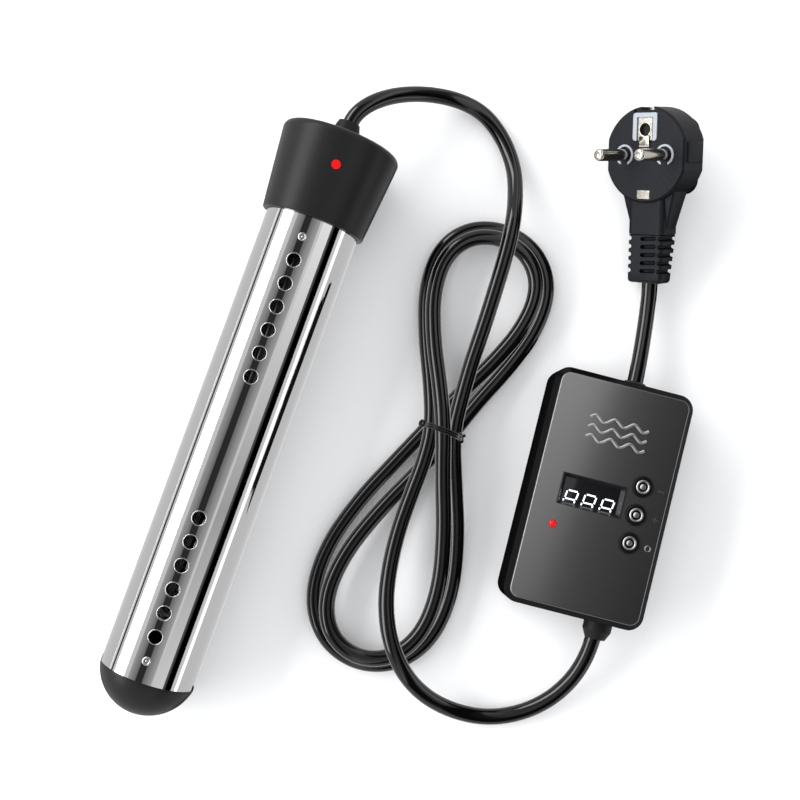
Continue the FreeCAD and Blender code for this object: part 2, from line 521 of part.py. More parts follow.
# ---- plug, built with its face on z = 0, its pins along +Z and its stem along -Y ----
def make_plug_body():
    body = cylinder(FACE_R, -PLUG_DEPTH, 0).common(block(-FACE_WIDTH / 2, FACE_WIDTH / 2, -40, 40,
                                                         -PLUG_DEPTH, 0))
    body = body.makeChamfer(0.8, edges_at(body, 0))
    stem = block(-STEM_W / 2, STEM_W / 2, STEM_END, -8, STEM_MID - STEM_T / 2, STEM_MID + STEM_T / 2)
    stem = stem.makeFillet(2.5, [e for e in stem.Edges if abs(e.tangentAt(e.FirstParameter).y) > 0.9])
    body = body.fuse(stem).removeSplitter()
    cuts = [cylinder(PIN_ROOT_R, -PIN_ROOT, 1, x, 0) for x in (-PIN_SPACING / 2, PIN_SPACING / 2)]
    cuts.append(cylinder(EARTH_HOLE_R + 0.8, -EARTH_DEPTH - 0.8, 1, 0, EARTH_HOLE_Y))
    cuts += [block(-5.6, 5.6, 5.6, FACE_R + 1, -1.0, 1), block(-3.0, 3.0, FACE_R - 1.6, FACE_R + 1,
                                                               -PLUG_DEPTH + 2, 1),
             block(-3.0, 3.0, -FACE_R + 1.6, -FACE_R + 5.2, -2.2, 1)]
    cuts.append(rod(LEAD_R + 0.05, (0, STEM_END - 1, STEM_MID), (0, STEM_END + 8, STEM_MID)))
    return body.cut(group(cuts))


def make_collars():
    """Open rings that stand round the foot of each pin."""
    collars = []
    for x in (-PIN_SPACING / 2, PIN_SPACING / 2):
        collar = ring(PIN_R + 1.75, PIN_R + 0.95, 0, 0.6, x, 0)
        collars.append(collar.cut(block(x - 1.6, x + 1.6, -5, 0, -1, 2)))
    return group(collars)


def make_earth_parts():
    insert = block(-5.6, 5.6, 5.6, 16.6, -1.0, 0.7)
    insert = insert.makeFillet(1.2, [e for e in insert.Edges if abs(e.tangentAt(e.FirstParameter).z) > 0.9])
    insert = insert.cut(block(-3.8, 3.8, 5.0, 14.8, -0.4, 1))
    insert = insert.cut(cylinder(EARTH_HOLE_R + 0.8, -2, 1, 0, EARTH_HOLE_Y))
    sleeve = ring(EARTH_HOLE_R + 0.8, EARTH_HOLE_R, -EARTH_DEPTH, -0.4, 0, EARTH_HOLE_Y)
    sleeve = sleeve.fuse(cylinder(EARTH_HOLE_R + 0.8, -EARTH_DEPTH - 0.8, -EARTH_DEPTH, 0, EARTH_HOLE_Y))
    plate = block(-3.2, 3.2, 5.8, 14.6, -0.4, 0.3).cut(cylinder(EARTH_HOLE_R, -2, 2, 0, EARTH_HOLE_Y))
    upper = plate.fuse(sleeve).removeSplitter()
    tongue = block(-2.6, 2.6, FACE_R - 1.5, FACE_R - 0.5, -PLUG_DEPTH + 3, -5.0)
    lower = block(-2.9, 2.9, -FACE_R + 1.7, -FACE_R + 5.1, -2.2, 0.25)
    parts["earth_insert"] = insert
    parts["earth_contacts"] = group([upper, tongue, lower])


def make_boot():
    """The ribbed strain relief: flat rings on a soft core."""
    core = rod(4.9, (0, STEM_END, STEM_MID), (0, BOOT_END, STEM_MID))
    pitch = (STEM_END - BOOT_END - 3.6) / BOOT_RIBS
    ribs = []
    for k in range(BOOT_RIBS + 1):
        start = STEM_END - 1.4 - k * pitch
        end = start - 1.9 if k < BOOT_RIBS else BOOT_END
        shrink = 1 - 0.045 * k
        rib = block(-8.2 * shrink, 8.2 * shrink, end, start, STEM_MID - 5.6 * shrink, STEM_MID + 5.6 * shrink)
        ribs.append(rib.makeFillet(2.4, [e for e in rib.Edges if abs(e.tangentAt(e.FirstParameter).y) > 0.9]))
    spine = block(-1.6, 1.6, BOOT_END + 1, STEM_END, STEM_MID - 5.0, STEM_MID + 5.0)
    boot = core.fuse(ribs + [spine]).removeSplitter()
    return boot.cut(rod(LEAD_R + 0.05, (0, BOOT_END - 1, STEM_MID), (0, STEM_END + 1, STEM_MID)))


def make_plug():
    before = set(parts)
    parts["plug_body"] = make_plug_body()
    pins = []
    for x in (-PIN_SPACING / 2, PIN_SPACING / 2):
        pin = cylinder(PIN_R, 0, PIN_LENGTH, x, 0)
        pin = pin.makeFillet(1.1, edges_at(pin, PIN_LENGTH))
        pin = pin.cut(Part.makeSphere(1.6, V(x, 0, PIN_LENGTH + 1.0)))
        pins.append(pin.fuse(cylinder(PIN_ROOT_R, -PIN_ROOT, 0, x, 0)).removeSplitter())
    parts["plug_pins"] = group(pins)
    parts["pin_collars"] = make_collars()
    make_earth_parts()
    grip = slab(29, 31, 6, GRIP_BACK, -PLUG_DEPTH, 0, -0.5)
    parts["plug_back_grip"] = grip.makeFillet(1.0, edges_at(grip, GRIP_BACK))
    parts["plug_boot"] = make_boot()
    names = [name for name in parts if name not in before]
    heading, slope, lift = (math.radians(a) for a in (STEM_HEADING, STEM_SLOPE, PLUG_LIFT))
    stem = V(math.cos(slope) * math.cos(heading), math.cos(slope) * math.sin(heading), -math.sin(slope))
    # the pins are square to the stem and rise by the plug's lift, on the stem's right-hand side
    level = stem.cross(V(0, 0, 1)).normalize()
    upright = level.cross(stem).normalize()
    share = math.sin(lift) / math.cos(slope)
    pins_way = level * math.sqrt(1 - share ** 2) + upright * share
    turn = Rotation(stem.negative().cross(pins_way), stem.negative(), pins_way, "ZYX")
    place(names, Placement(V(0, 0, 0), turn))
    low = min(parts[name].optimalBoundingBox().ZMin for name in names)
    tip = turn.multVec(V(0, BOOT_END, STEM_MID))
    place(names, Placement(V(BOOT_TIP[0] - tip.x, BOOT_TIP[1] - tip.y, -low), Rotation()))
    body_low = min(parts[name].optimalBoundingBox().ZMin for name in ("plug_body", "plug_back_grip"))
    print("plug: body lowest %.2f, boot lowest %.2f, boot tip height %.2f, face centre %s" % (
        body_low, parts["plug_boot"].optimalBoundingBox().ZMin, tip.z - low,
        [round(c, 1) for c in (V(BOOT_TIP[0] - tip.x, BOOT_TIP[1] - tip.y, -low))]))
    for x in (-PIN_SPACING / 2, PIN_SPACING / 2):
        foot = turn.multVec(V(x, 0, 0)) + V(BOOT_TIP[0] - tip.x, BOOT_TIP[1] - tip.y, -low)
        print("pin foot", [round(c, 3) for c in foot], "axis", [round(c, 5) for c in pins_way])
    hole = turn.multVec(V(0, EARTH_HOLE_Y, 0)) + V(BOOT_TIP[0] - tip.x, BOOT_TIP[1] - tip.y, -low)
    print("earth hole", [round(c, 3) for c in hole])


# ---- lead ----
def lead_tube(name, route):
    """A round lead along straight runs that arcs join, each arc as large as its runs allow."""
    points = [V(*p) for p in route]
    edges, at, radii = [], points[0], []
    for before, corner, after in zip(points, points[1:], points[2:]):
        back, ahead = before - corner, after - corner
        reach = 0.45 * min(back.Length, ahead.Length)
        back.normalize()
        ahead.normalize()
        half_turn = (math.pi - back.getAngle(ahead)) / 2
        radii.append(reach / math.tan(half_turn))
        start, end = corner + back * reach, corner + ahead * reach
        inward = (back + ahead).normalize()
        middle = corner + inward * (radii[-1] / math.cos(half_turn) - radii[-1])
        edges += [Part.LineSegment(at, start).toShape(), Part.Arc(start, middle, end).toShape()]
        at = end
    edges.append(Part.LineSegment(at, points[-1]).toShape())
    path = Part.Wire(edges)
    section = Part.Wire(Part.makeCircle(LEAD_R, points[0], points[1] - points[0]))
    tube = path.makePipeShell([section], True, True)
    ideal = math.pi * LEAD_R ** 2 * path.Length
    print("%s: length %.1f, volume / ideal %.4f, valid %s, smallest arcs %s" % (
        name, path.Length, tube.Volume / ideal, tube.isValid(), sorted(round(r) for r in radii)[:5]))
    runs = [round((b - a).Length, 1) for a, b in zip(points, points[1:])]
    print("  runs", runs, "radii", [round(r) for r in radii])
    parts[name] = tube


def belt(x1, y1, r1, x2, y2, r2, z0, z1):
    """A solid whose outline is a belt round two circles."""
    dx, dy = x2 - x1, y2 - y1
    span, heading = math.hypot(dx, dy), math.atan2(dy, dx)
    spread = math.acos((r1 - r2) / span)

    def on(x, y, r, angle):
        return V(x + r * math.cos(angle), y + r * math.sin(angle), z0)
    a, b = heading + spread, heading - spread
    outline = [Part.Arc(on(x1, y1, r1, a), on(x1, y1, r1, heading + math.pi), on(x1, y1, r1, b)),
               Part.LineSegment(on(x1, y1, r1, b), on(x2, y2, r2, b)),
               Part.Arc(on(x2, y2, r2, b), on(x2, y2, r2, heading), on(x2, y2, r2, a)),
               Part.LineSegment(on(x2, y2, r2, a), on(x1, y1, r1, a))]
    return Part.Face(Part.Wire([c.toShape() for c in outline])).extrude(V(0, 0, z1 - z0))


def make_hank():
    """The lead's folded middle: two loops, one each side of the tie, of two turns each."""
    upper = belt(-0.3, 86.5, 27.4, TIE_X, TIE_Y + 6, 8.5, 0, HANK_H)
    upper = upper.cut(belt(-1.4, 86.6, 17.0, 0.5, 48, 3.0, -1, HANK_H + 1))
    lower = belt(1.1, -48.2, 31.0, TIE_X, TIE_Y - 6, 8.5, 0, HANK_H)
    lower = lower.cut(belt(-0.2, -50.0, 19.2, -0.6, -4, 3.0, -1, HANK_H + 1))
    bundle = rod(BUNDLE_R, (TIE_X, TIE_Y - 13, TIE_Z), (TIE_X, TIE_Y + 13, TIE_Z))
    parts["lead_hank"] = upper.fuse([lower, bundle]).removeSplitter()
    turns = []
    for dy in (-1.3, 1.3):
        turns.append(Part.makeTorus(BUNDLE_R + TIE_WIRE_R + 0.05, TIE_WIRE_R, V(TIE_X, TIE_Y + dy, TIE_Z),
                                    V(0, 1, 0)))
    knots = [Part.makeSphere(2.1, V(TIE_X + side * (BUNDLE_R + 1.9), TIE_Y, TIE_Z + 1.5)) for side in (-1, 1)]
    parts["lead_tie"] = turns[0].fuse([turns[1]] + knots).removeSplitter()


def make_leads():
    lead_tube("heater_lead", HEATER_LEAD)
    lead_tube("box_lead", BOX_LEAD)
    lead_tube("plug_lead", PLUG_LEAD)
    make_hank()


make_heater()
make_box()
make_plug()
make_leads()
os.makedirs("parts", exist_ok=True)
for name, shape in parts.items():
    box = shape.BoundBox
    if not shape.isValid() or shape.Volume <= 0 or not shape.Solids:
        print("check", name, shape.isValid(), round(shape.Volume, 2), len(shape.Solids))
    shape.exportStep("parts/%s.step" % name)
whole = group(list(parts.values())).BoundBox
print(len(parts), "nodes, from", [round(v, 1) for v in (whole.XMin, whole.YMin, whole.ZMin)],
      "to", [round(v, 1) for v in (whole.XMax, whole.YMax, whole.ZMax)])
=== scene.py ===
# %% [markdown]
# # A submersible aquarium heater
#
# The object is a perforated steel tube with a black cap, a control box with a small display, and an
# angled earthed plug. One black lead joins them, and its middle is folded and tied.
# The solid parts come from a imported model, which is loaded as a fixed frame. This lesson gives those
# parts their finishes, and models what a solid cannot show well: the lead, its tie, the lit digits,
# the marks on the face, the rolled edges of the water holes and the plug's ribbed sleeve.

# %% Load the frame
import json
import math
import bpy
from mathutils import Matrix, Vector


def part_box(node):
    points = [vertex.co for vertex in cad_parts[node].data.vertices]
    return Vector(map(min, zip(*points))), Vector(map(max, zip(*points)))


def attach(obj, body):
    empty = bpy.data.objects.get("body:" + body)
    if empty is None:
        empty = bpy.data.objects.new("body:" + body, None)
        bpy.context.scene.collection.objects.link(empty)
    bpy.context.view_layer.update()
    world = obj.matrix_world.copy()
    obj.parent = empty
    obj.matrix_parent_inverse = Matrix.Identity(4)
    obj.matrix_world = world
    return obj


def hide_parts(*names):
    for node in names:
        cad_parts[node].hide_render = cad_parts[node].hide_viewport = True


MM = 0.001
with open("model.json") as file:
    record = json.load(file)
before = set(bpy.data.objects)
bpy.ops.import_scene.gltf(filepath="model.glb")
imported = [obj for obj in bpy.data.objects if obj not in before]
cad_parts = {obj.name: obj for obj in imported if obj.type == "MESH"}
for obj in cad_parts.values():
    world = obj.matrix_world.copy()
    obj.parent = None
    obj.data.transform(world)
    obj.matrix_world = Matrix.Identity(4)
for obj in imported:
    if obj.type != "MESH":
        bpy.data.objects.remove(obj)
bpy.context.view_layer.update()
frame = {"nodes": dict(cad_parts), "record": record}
bpy.ops.object.select_all(action="DESELECT")
record = frame["record"]

# %% [markdown]
# ## Where things are
#
# Each sub-assembly is easiest to model square to the axes, and is then put in its place. The places
# could be typed in, but the record already states them: its mounts give the tube's middle and axis
# and the plug's pins, and the box's face panel has its middle at the middle of the box.

# %% Placements of the heater, the box and the plug
mounts = {mount["name"]: mount for mount in record["mounts"]}


def mount_point(name):
    return Vector(mounts[name]["pos_m"])


def placement(origin, x_way, y_way, z_way):
    """The matrix that takes a local point to the frame, from an origin and three axes."""
    turn = Matrix((x_way, y_way, z_way)).transposed()
    return Matrix.Translation(origin) @ turn.to_4x4()


tube_way = -Vector(mounts["guard_tube_grip"]["axis"]).normalized()
across = Vector((1, 0, 0))
HEATER = placement(mount_point("guard_tube_grip"), across, tube_way, across.cross(tube_way))

BOX_TURN = math.radians(5.5)
panel_low, panel_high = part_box("face_panel")
panel_top = panel_high.z
box_middle = (panel_low + panel_high) / 2
BOX = Matrix.Translation((box_middle.x, box_middle.y, 0)) @ Matrix.Rotation(BOX_TURN, 4, "Z")

PIN_LENGTH = 18 * MM                   # the straight part of a pin, whose middle the record gives
pin_way = Vector(mounts["plug_pin_a"]["axis"]).normalized()
pin_a, pin_b = mount_point("plug_pin_a"), mount_point("plug_pin_b")
pins_across = (pin_b - pin_a).normalized()
PLUG = placement((pin_a + pin_b) / 2 - pin_way * PIN_LENGTH / 2, pins_across, pin_way.cross(pins_across),
                 pin_way)
print("plug face at", [round(c / MM, 1) for c in PLUG.translation])

# %% [markdown]
# ## The camera
#
# The camera looks down on the parts from about half a metre, nearly straight, and is turned so that
# the heater leans across the picture. A longer lens from further away would look flatter, but the
# heater's two ends are plainly of different width to the eye, so this distance is kept.

# %% Camera
bpy.ops.object.camera_add(location=(-24.81 * MM, -3.05 * MM, 518.9 * MM),
                          rotation=[math.radians(a) for a in (3.342, -1.83, 19.824)])
camera = bpy.context.object
camera.name = "camera"
camera.data.sensor_width = 36
camera.data.lens = 56.25
bpy.context.scene.camera = camera
bpy.context.scene.view_settings.view_transform = "Standard"

# %% [markdown]
# ## The lead
#
# The real lead is a three-core flexible cable, 6.5 mm across, in glossy black PVC. From the cap it
# bends over to a hank of two figure-of-eight turns, then goes on to the control box, and a second
# length joins the box to the plug. It could be swept in CAD, but a smooth spline with a round
# section bends as a cable does. A spline of order 3 with its end points used runs near its control
# points without ever kinking.

# %% The lead's route outside the hank, in millimetres
LEAD = 6.5
GLAND_TIP = (-76.5, 127.2, 24.45)
HEATER_LEAD = [(-76.5, 118.5, 24.25), GLAND_TIP, (-74.6, 133.6, 24.2), (-69.6, 140.6, 22.0),
               (-61.8, 147.6, 17.2), (-51.4, 153.6, 11.2), (-39.4, 157.2, 5.8), (-27.4, 156.4, 3.5),
               (-16.2, 149.2, 3.4), (-7.4, 137.8, 6.2), (-3.2, 125.2, 12.2), (-0.9, 113.2, 18.8),
               (0.6, 101.0, 19.2), (1.6, 86.0, 15.6), (2.4, 70.0, 12.4), (2.6, 54.0, 11.8),
               (3.6, 39.0, 12.4)]
BOX_LEAD = [(-2.0, 10.0, 12.4), (-2.4, -4.0, 11.8), (-2.4, -19.0, 10.4), (-0.9, -34.0, 12.0), (2.2, -48.0,
                                                                                               16.4),
            (8.2, -60.6, 20.4), (17.6, -71.2, 19.6), (29.6, -78.2, 13.0), (43.6, -81.0, 5.8), (57.6, -79.4,
                                                                                               3.4),
            (69.4, -73.4, 3.8), (78.6, -64.4, 5.6), (84.2, -53.8, 8.2), (86.4, -43.0, 11.2), (86.2, -32.4,
                                                                                              12.8),
            (85.4, -22.0, 13.0), (84.8, -12.6, 12.7)]
PLUG_LEAD = [(69.75, 54.0, 12.7), (68.95, 62.4, 13.0), (68.05, 71.4, 13.0), (66.9, 81.0, 11.9), (65.7, 90.6,
                                                                                                 9.5),
             (64.4, 100.0, 7.0), (62.5, 109.4, 6.2), (59.3, 118.6, 8.4)]

# %% [markdown]
# ## The hank
#
# The turns of a hank are worked out rather than drawn. Seen from above, each loop is a teardrop: its
# point is at the tie and its round end lies about 100 mm away. The formula for a teardrop takes a
# length, a width and a roundness, so four loops that differ a little look wound by hand. Between two
# loops the lead passes through the tie, where five strands lie in three layers. The heights keep
# every strand at least a diameter from the next: one loop on the floor and the other on top of it.

# %% The hank's loops and its strands at the tie
TIE = (0.5, 24.4)
STRANDS = [(5.0, 25.0, 12.8), (-3.6, 27.0, 5.2), (0.6, 25.2, 19.2), (4.9, 23.4, 5.6), (-3.4, 24.2, 12.8)]
# way from the tie, length, width, lean, roundness, and the height at each station round the loop
LOOPS = [(-1, 101.0, 37.5, -1.0, 1.4, (8.8, 3.4, 3.4, 3.4, 3.4, 4.6)),
         (1, 83.5, 31.5, -2.5, 1.6, (4.8, 10.2, 10.2, 10.2, 10.6, 16.2)),
         (-1, 98.0, 32.5, -1.0, 1.6, (15.6, 10.0, 10.0, 10.0, 9.4, 5.2)),
         (1, 88.5, 36.0, -2.0, 1.7, (5.0, 3.5, 3.5, 3.5, 3.5, 9.6))]
STATIONS = (0.14, 0.28, 0.42, 0.58, 0.72, 0.86)
LOOP_STEPS = 14


def height_at(turn, heights):
    """The height at a share of the turn, straight from station to station."""
    at = [STATIONS[0]] + list(STATIONS) + [STATIONS[-1]]
    level = [heights[0]] + list(heights) + [heights[-1]]
    for k in range(1, len(at) - 1):
        if turn <= at[k + 1]:
            share = (turn - at[k]) / (at[k + 1] - at[k]) if at[k + 1] > at[k] else 0.0
            return level[k] + (level[k + 1] - level[k]) * max(0.0, share)
    return level[-1]


def loop_points(way, length, width, lean, roundness, heights, start, end):
    """One loop of the hank, from a strand at the tie round to the next one."""
    points = []
    for step in range(2, LOOP_STEPS - 1):
        turn = step / LOOP_STEPS
        angle = 2 * math.pi * turn
        out = math.sin(angle / 2)
        sideways = width * math.sin(angle) * out ** roundness
        along = length * out ** 2
        base = start if turn < 0.5 else end
        pull = 1 - out ** 2
        points.append((TIE[0] + sideways + lean * along / length + (base[0] - TIE[0]) * pull,
                       TIE[1] + way * along + (base[1] - TIE[1]) * pull, height_at(turn, heights)))
    return points


hank = []
for number, loop in enumerate(LOOPS):
    hank += [STRANDS[number]] + loop_points(*loop, STRANDS[number], STRANDS[number + 1])
hank.append(STRANDS[-1])
print("points in the hank:", len(hank))


# %% Make a lead from a route
def route_curve(name, points, radius):
    """A smooth round lead along a list of control points in millimetres.

    A curve's bounding box reaches out by its points' radius, so the points carry the lead's radius and
    the bevel, which multiplies it, is 1."""
    curve = bpy.data.curves.new(name, "CURVE")
    curve.dimensions = "3D"
    curve.bevel_depth = 1 if radius else 0
    curve.bevel_resolution = 6
    curve.resolution_u = 8
    curve.use_fill_caps = True
    spline = curve.splines.new("NURBS")
    spline.points.add(len(points) - 1)
    for spot, point in zip(spline.points, points):
        spot.co = (*(c * MM for c in point), 1)
        spot.radius = radius * MM
    spline.order_u = 3
    spline.use_endpoint_u = True
    piece = bpy.data.objects.new(name, curve)
    bpy.context.collection.objects.link(piece)
    return piece


def centreline(points):
    """The points of a route's own smooth line, in metres, and its length."""
    probe = route_curve("probe", points, 0)
    line = bpy.data.meshes.new_from_object(probe)
    along = [v.co.copy() for v in line.vertices]
    bpy.data.objects.remove(probe)
    return along, sum((b - a).length for a, b in zip(along, along[1:]))


heater_route = HEATER_LEAD + hank + BOX_LEAD
heater_cord = route_curve("heater_cord", heater_route, LEAD / 2)
plug_cord = route_curve("plug_cord", PLUG_LEAD, LEAD / 2)
heater_line, heater_length = centreline(heater_route)
plug_line, plug_length = centreline(PLUG_LEAD)
print("lead to the box %.3f m, lead to the plug %.3f m" % (heater_length, plug_length))

# %% [markdown]
# ## The tie
#
# The hank is held by a soft wire with a thin black cover, wound twice round the bundle and twisted
# at its end. A torus would stand off the strands, so the wire follows the bundle's own outline: at
# each angle round the bundle, it lies just outside the strand that reaches furthest that way.

# %% Lead tie
TIE_WIRE = 0.6
BUNDLE_MIDDLE = (0.6, 11.6)
WIRE_STEPS = 20


def bundle_reach(angle):
    """How far from the bundle's middle the wire lies at that angle."""
    reach = 0.0
    for x, _, z in STRANDS:
        off = (x - BUNDLE_MIDDLE[0]) * math.cos(angle) + (z - BUNDLE_MIDDLE[1]) * math.sin(angle)
        reach = max(reach, off + LEAD / 2 + TIE_WIRE)
    return reach


tie_route = []
for step in range(2 * WIRE_STEPS + 3):
    angle = 2 * math.pi * step / WIRE_STEPS
    reach = bundle_reach(angle)
    tie_route.append((BUNDLE_MIDDLE[0] + reach * math.cos(angle),
                      TIE[1] - 1.0 + 2.0 * step / (2 * WIRE_STEPS),
                      max(TIE_WIRE, BUNDLE_MIDDLE[1] + reach * math.sin(angle))))
lead_tie = route_curve("lead_tie_wire", tie_route, TIE_WIRE)
twist = []
for step in range(19):
    angle = 2 * math.pi * step / 6
    twist.append((BUNDLE_MIDDLE[0] + bundle_reach(0) + 0.4 + 0.7 * math.cos(angle),
                  TIE[1] + 1.2 - 0.42 * step,
                  BUNDLE_MIDDLE[1] + 0.7 * math.sin(angle) + 0.6))
tie_end = route_curve("lead_tie_end", twist, TIE_WIRE)
knot = [(BUNDLE_MIDDLE[0] - bundle_reach(math.pi) - 0.5 + 0.9 * math.cos(a), TIE[1] + 1.0 * math.sin(a),
         BUNDLE_MIDDLE[1] + 2.2 + 0.3 * a)
        for a in [math.pi * k / 4 for k in range(11)]]
tie_knot = route_curve("lead_tie_knot", knot, TIE_WIRE)
for piece in (lead_tie, tie_end, tie_knot):
    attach(piece, "root")
    piece.visible_glossy = False
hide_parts("lead_tie")

for piece in (heater_cord, plug_cord):
    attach(piece, "root")
    piece.visible_glossy = False
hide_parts("heater_lead", "lead_hank", "box_lead")
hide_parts("plug_lead")

# %% [markdown]
# ## Shader maths
#
# A procedural finish is a small sum: a grain, scaled, added to a base value. Written node by node it
# takes many lines, so one class wraps a socket and lets Python's operators add the Math nodes. The
# paint class makes every other node with one method.

# %% A socket with arithmetic, and a paint
class Field:
    """One output of a node tree, which adds, subtracts and multiplies like a number."""

    def __init__(self, paint, socket):
        self.paint = paint
        self.socket = socket

    def sum(self, operation, *values):
        return self.paint.node("ShaderNodeMath", {"operation": operation}, dict(enumerate(values)))

    def __add__(self, other):
        return self.sum("ADD", self, other)

    def __sub__(self, other):
        return self.sum("SUBTRACT", self, other)

    def __mul__(self, other):
        return self.sum("MULTIPLY", self, other)

    def __gt__(self, other):
        return self.sum("GREATER_THAN", self, other)


class Paint:
    """A material on Object coordinates, whose constant values sit on the shader's own sockets."""

    def __init__(self, name, fixed):
        self.material = bpy.data.materials.new(name)
        self.material.use_nodes = True
        self.tree = self.material.node_tree
        self.shader = self.tree.nodes["Principled BSDF"]
        for socket, value in fixed.items():
            self.shader.inputs[socket].default_value = value

    def node(self, kind, settings=None, inputs=None, output=0):
        made = self.tree.nodes.new(kind)
        for key, value in (settings or {}).items():
            setattr(made, key, value)
        for key, value in (inputs or {}).items():
            if isinstance(value, Field):
                self.tree.links.new(value.socket, made.inputs[key])
            else:
                made.inputs[key].default_value = value
        return Field(self, made.outputs[output])

    def grain(self, marks_per_metre, stretch=(1, 1, 1), detail=3.0):
        """Noise of that many marks a metre, from 0 to 1, drawn out along an axis by a stretch under 1."""
        spot = self.node("ShaderNodeTexCoord", output="Object")
        scaled = self.node("ShaderNodeMapping", {}, {"Vector": spot, "Scale": stretch})
        return self.node("ShaderNodeTexNoise", {}, {"Vector": scaled, "Scale": marks_per_metre,
                                                    "Detail": detail})

    def blend(self, low, high, share):
        """A colour between two, by a share from 0 to 1."""
        return self.node("ShaderNodeMix", {"data_type": "RGBA"},
                         {0: share, 6: (*low, 1), 7: (*high, 1)}, output=2)

    def relief(self, height, depth):
        """Raises the surface by the height field, by a depth in metres."""
        return self.node("ShaderNodeBump", {}, {"Height": height, "Distance": depth, "Strength": 1.0})

    def set(self, socket, value):
        self.tree.links.new(value.socket, self.shader.inputs[socket])


# %% [markdown]
# ## Finishes
#
# Most of the object is moulded plastic, and what tells one plastic from another is its grain: how
# fine it is, how deep, and how much it breaks up the gloss. One function makes them all from those
# numbers. Metals use it too, with a colour that is nearly white and no light scattered from inside.

# %% One function for moulded and machined finishes
finishes = {}


def make_finish(name, colour, gloss_loss, marks, tone=0.1, uneven=0.08, depth=0.0, stretch=(1, 1, 1),
                fixed=None):
    """A finish: its roughness, marks a metre, and how far tone, roughness and surface vary with them."""
    paint = Paint(name, fixed or {})
    fine = paint.grain(marks, stretch)
    broad = paint.grain(marks / 40, stretch, detail=2.0)
    share = fine * 0.7 + broad * 0.3
    low = [c * (1 - tone) for c in colour]
    high = [min(1.0, c * (1 + tone)) for c in colour]
    paint.set("Base Color", paint.blend(low, high, share))
    paint.set("Roughness", (share - 0.5) * (2 * uneven) + gloss_loss)
    if depth:
        paint.set("Normal", paint.relief(fine, depth))
    finishes[name] = paint.material
    return paint


METAL = {"Metallic": 1.0}
SATIN = {"Specular IOR Level": 0.12}
make_finish("guard_steel", (0.54, 0.54, 0.545), 0.05, 2600, 0.03, 0.03, 0.0, (1, 0.02, 1), METAL)
make_finish("dull_steel", (0.52, 0.52, 0.53), 0.3, 1800, 0.12, 0.08, 4e-6, (1, 0.1, 1), METAL)
make_finish("nickel_parts", (0.50, 0.475, 0.42), 0.17, 900, 0.10, 0.08, 3e-6, (1, 1, 1), METAL)
make_finish("brass_parts", (0.72, 0.55, 0.26), 0.28, 900, 0.10, 0.08, 0.0, (1, 1, 1), METAL)
make_finish("cap_plastic", (0.012, 0.012, 0.012), 0.36, 5200, 0.15, 0.06, 6e-6, (1, 1, 1), SATIN)
make_finish("black_rubber", (0.010, 0.010, 0.010), 0.46, 3800, 0.18, 0.08, 8e-6, (1, 1, 1), SATIN)
make_finish("lead_sheath", (0.002, 0.002, 0.002), 0.12, 1400, 0.20, 0.04, 2e-6, (1, 1, 1),
            {"Specular IOR Level": 0.40})
make_finish("tie_wire", (0.003, 0.003, 0.003), 0.34, 2600, 0.20, 0.08, 6e-6, (1, 1, 1), SATIN)
make_finish("box_plastic", (0.003, 0.003, 0.003), 0.16, 3200, 0.15, 0.05, 2e-6, (1, 1, 1),
            {"Specular IOR Level": 0.08})
make_finish("face_plate", (0.19, 0.19, 0.192), 0.22, 5600, 0.06, 0.04, 3e-6, (1, 1, 1), {"Metallic": 0.93})
make_finish("bezel_plastic", (0.012, 0.012, 0.013), 0.20, 3200, 0.12, 0.05, 2e-6)
make_finish("display_glass", (0.004, 0.004, 0.005), 0.06, 700, 0.10, 0.02)
make_finish("display_segments", (0.8, 0.82, 0.84), 0.3, 900, 0.03, 0.05, 0.0, (1, 1, 1),
            {"Emission Color": (0.86, 0.93, 1.0, 1), "Emission Strength": 0.9})
make_finish("button_plastic", (0.004, 0.004, 0.004), 0.34, 4200, 0.15, 0.06, 5e-6, (1, 1, 1), SATIN)
make_finish("red_lamp", (0.55, 0.0, 0.0), 0.14, 800, 0.08, 0.03, 0.0, (1, 1, 1),
            {"Emission Color": (1.0, 0.0, 0.0, 1), "Emission Strength": 0.45, "Specular IOR Level": 0.35})
make_finish("circuit_board", (0.018, 0.16, 0.065), 0.32, 1200, 0.25, 0.08, 5e-6)
make_finish("component_plastic", (0.035, 0.045, 0.07), 0.42, 3000, 0.15, 0.08, 6e-6)
make_finish("plug_plastic", (0.0065, 0.0070, 0.0095), 0.44, 1300, 0.75, 0.12, 1.2e-4, (1, 1, 1), SATIN)
make_finish("pale_plastic", (0.29, 0.315, 0.35), 0.36, 2400, 0.06, 0.06, 5e-6)
make_finish("ceramic", (0.80, 0.77, 0.70), 0.28, 1500, 0.06, 0.08, 4e-6)
make_finish("potting_resin", (0.03, 0.03, 0.03), 0.38, 700, 0.20, 0.08, 8e-6)
make_finish("wire_cover", (0.30, 0.10, 0.04), 0.30, 1500, 0.12, 0.06)
print("finishes:", len(finishes))

# %% Give each CAD node its finish
for part in record["subparts"]:
    node = frame["nodes"][part["node"]]
    if not node.material_slots:
        node.data.materials.append(None)
    for spot in node.material_slots:
        spot.material = finishes[part["material_slot"]]


def dress(piece, slot):
    """Gives a piece the finish of a slot."""
    piece.data.materials.clear()
    piece.data.materials.append(finishes[slot])


for piece in (heater_cord, plug_cord):
    dress(piece, "lead_sheath")
for piece in (lead_tie, tie_end, tie_knot):
    dress(piece, "tie_wire")

# %% [markdown]
# ## Small pieces
#
# What is left is small work that catches the light. Each piece is built square to the axes from
# primitives, in millimetres. Then its parts are joined, and it is carried to the heater, the box or
# the plug by that assembly's matrix and frozen there.

# %% Primitives in millimetres, and how a piece is finished
def ring(place, radius, wire, turn=(0, 0, 0)):
    bpy.ops.mesh.primitive_torus_add(location=[c * MM for c in place], rotation=turn, major_segments=32,
                                     minor_segments=8, major_radius=radius * MM, minor_radius=wire * MM)
    return bpy.context.object


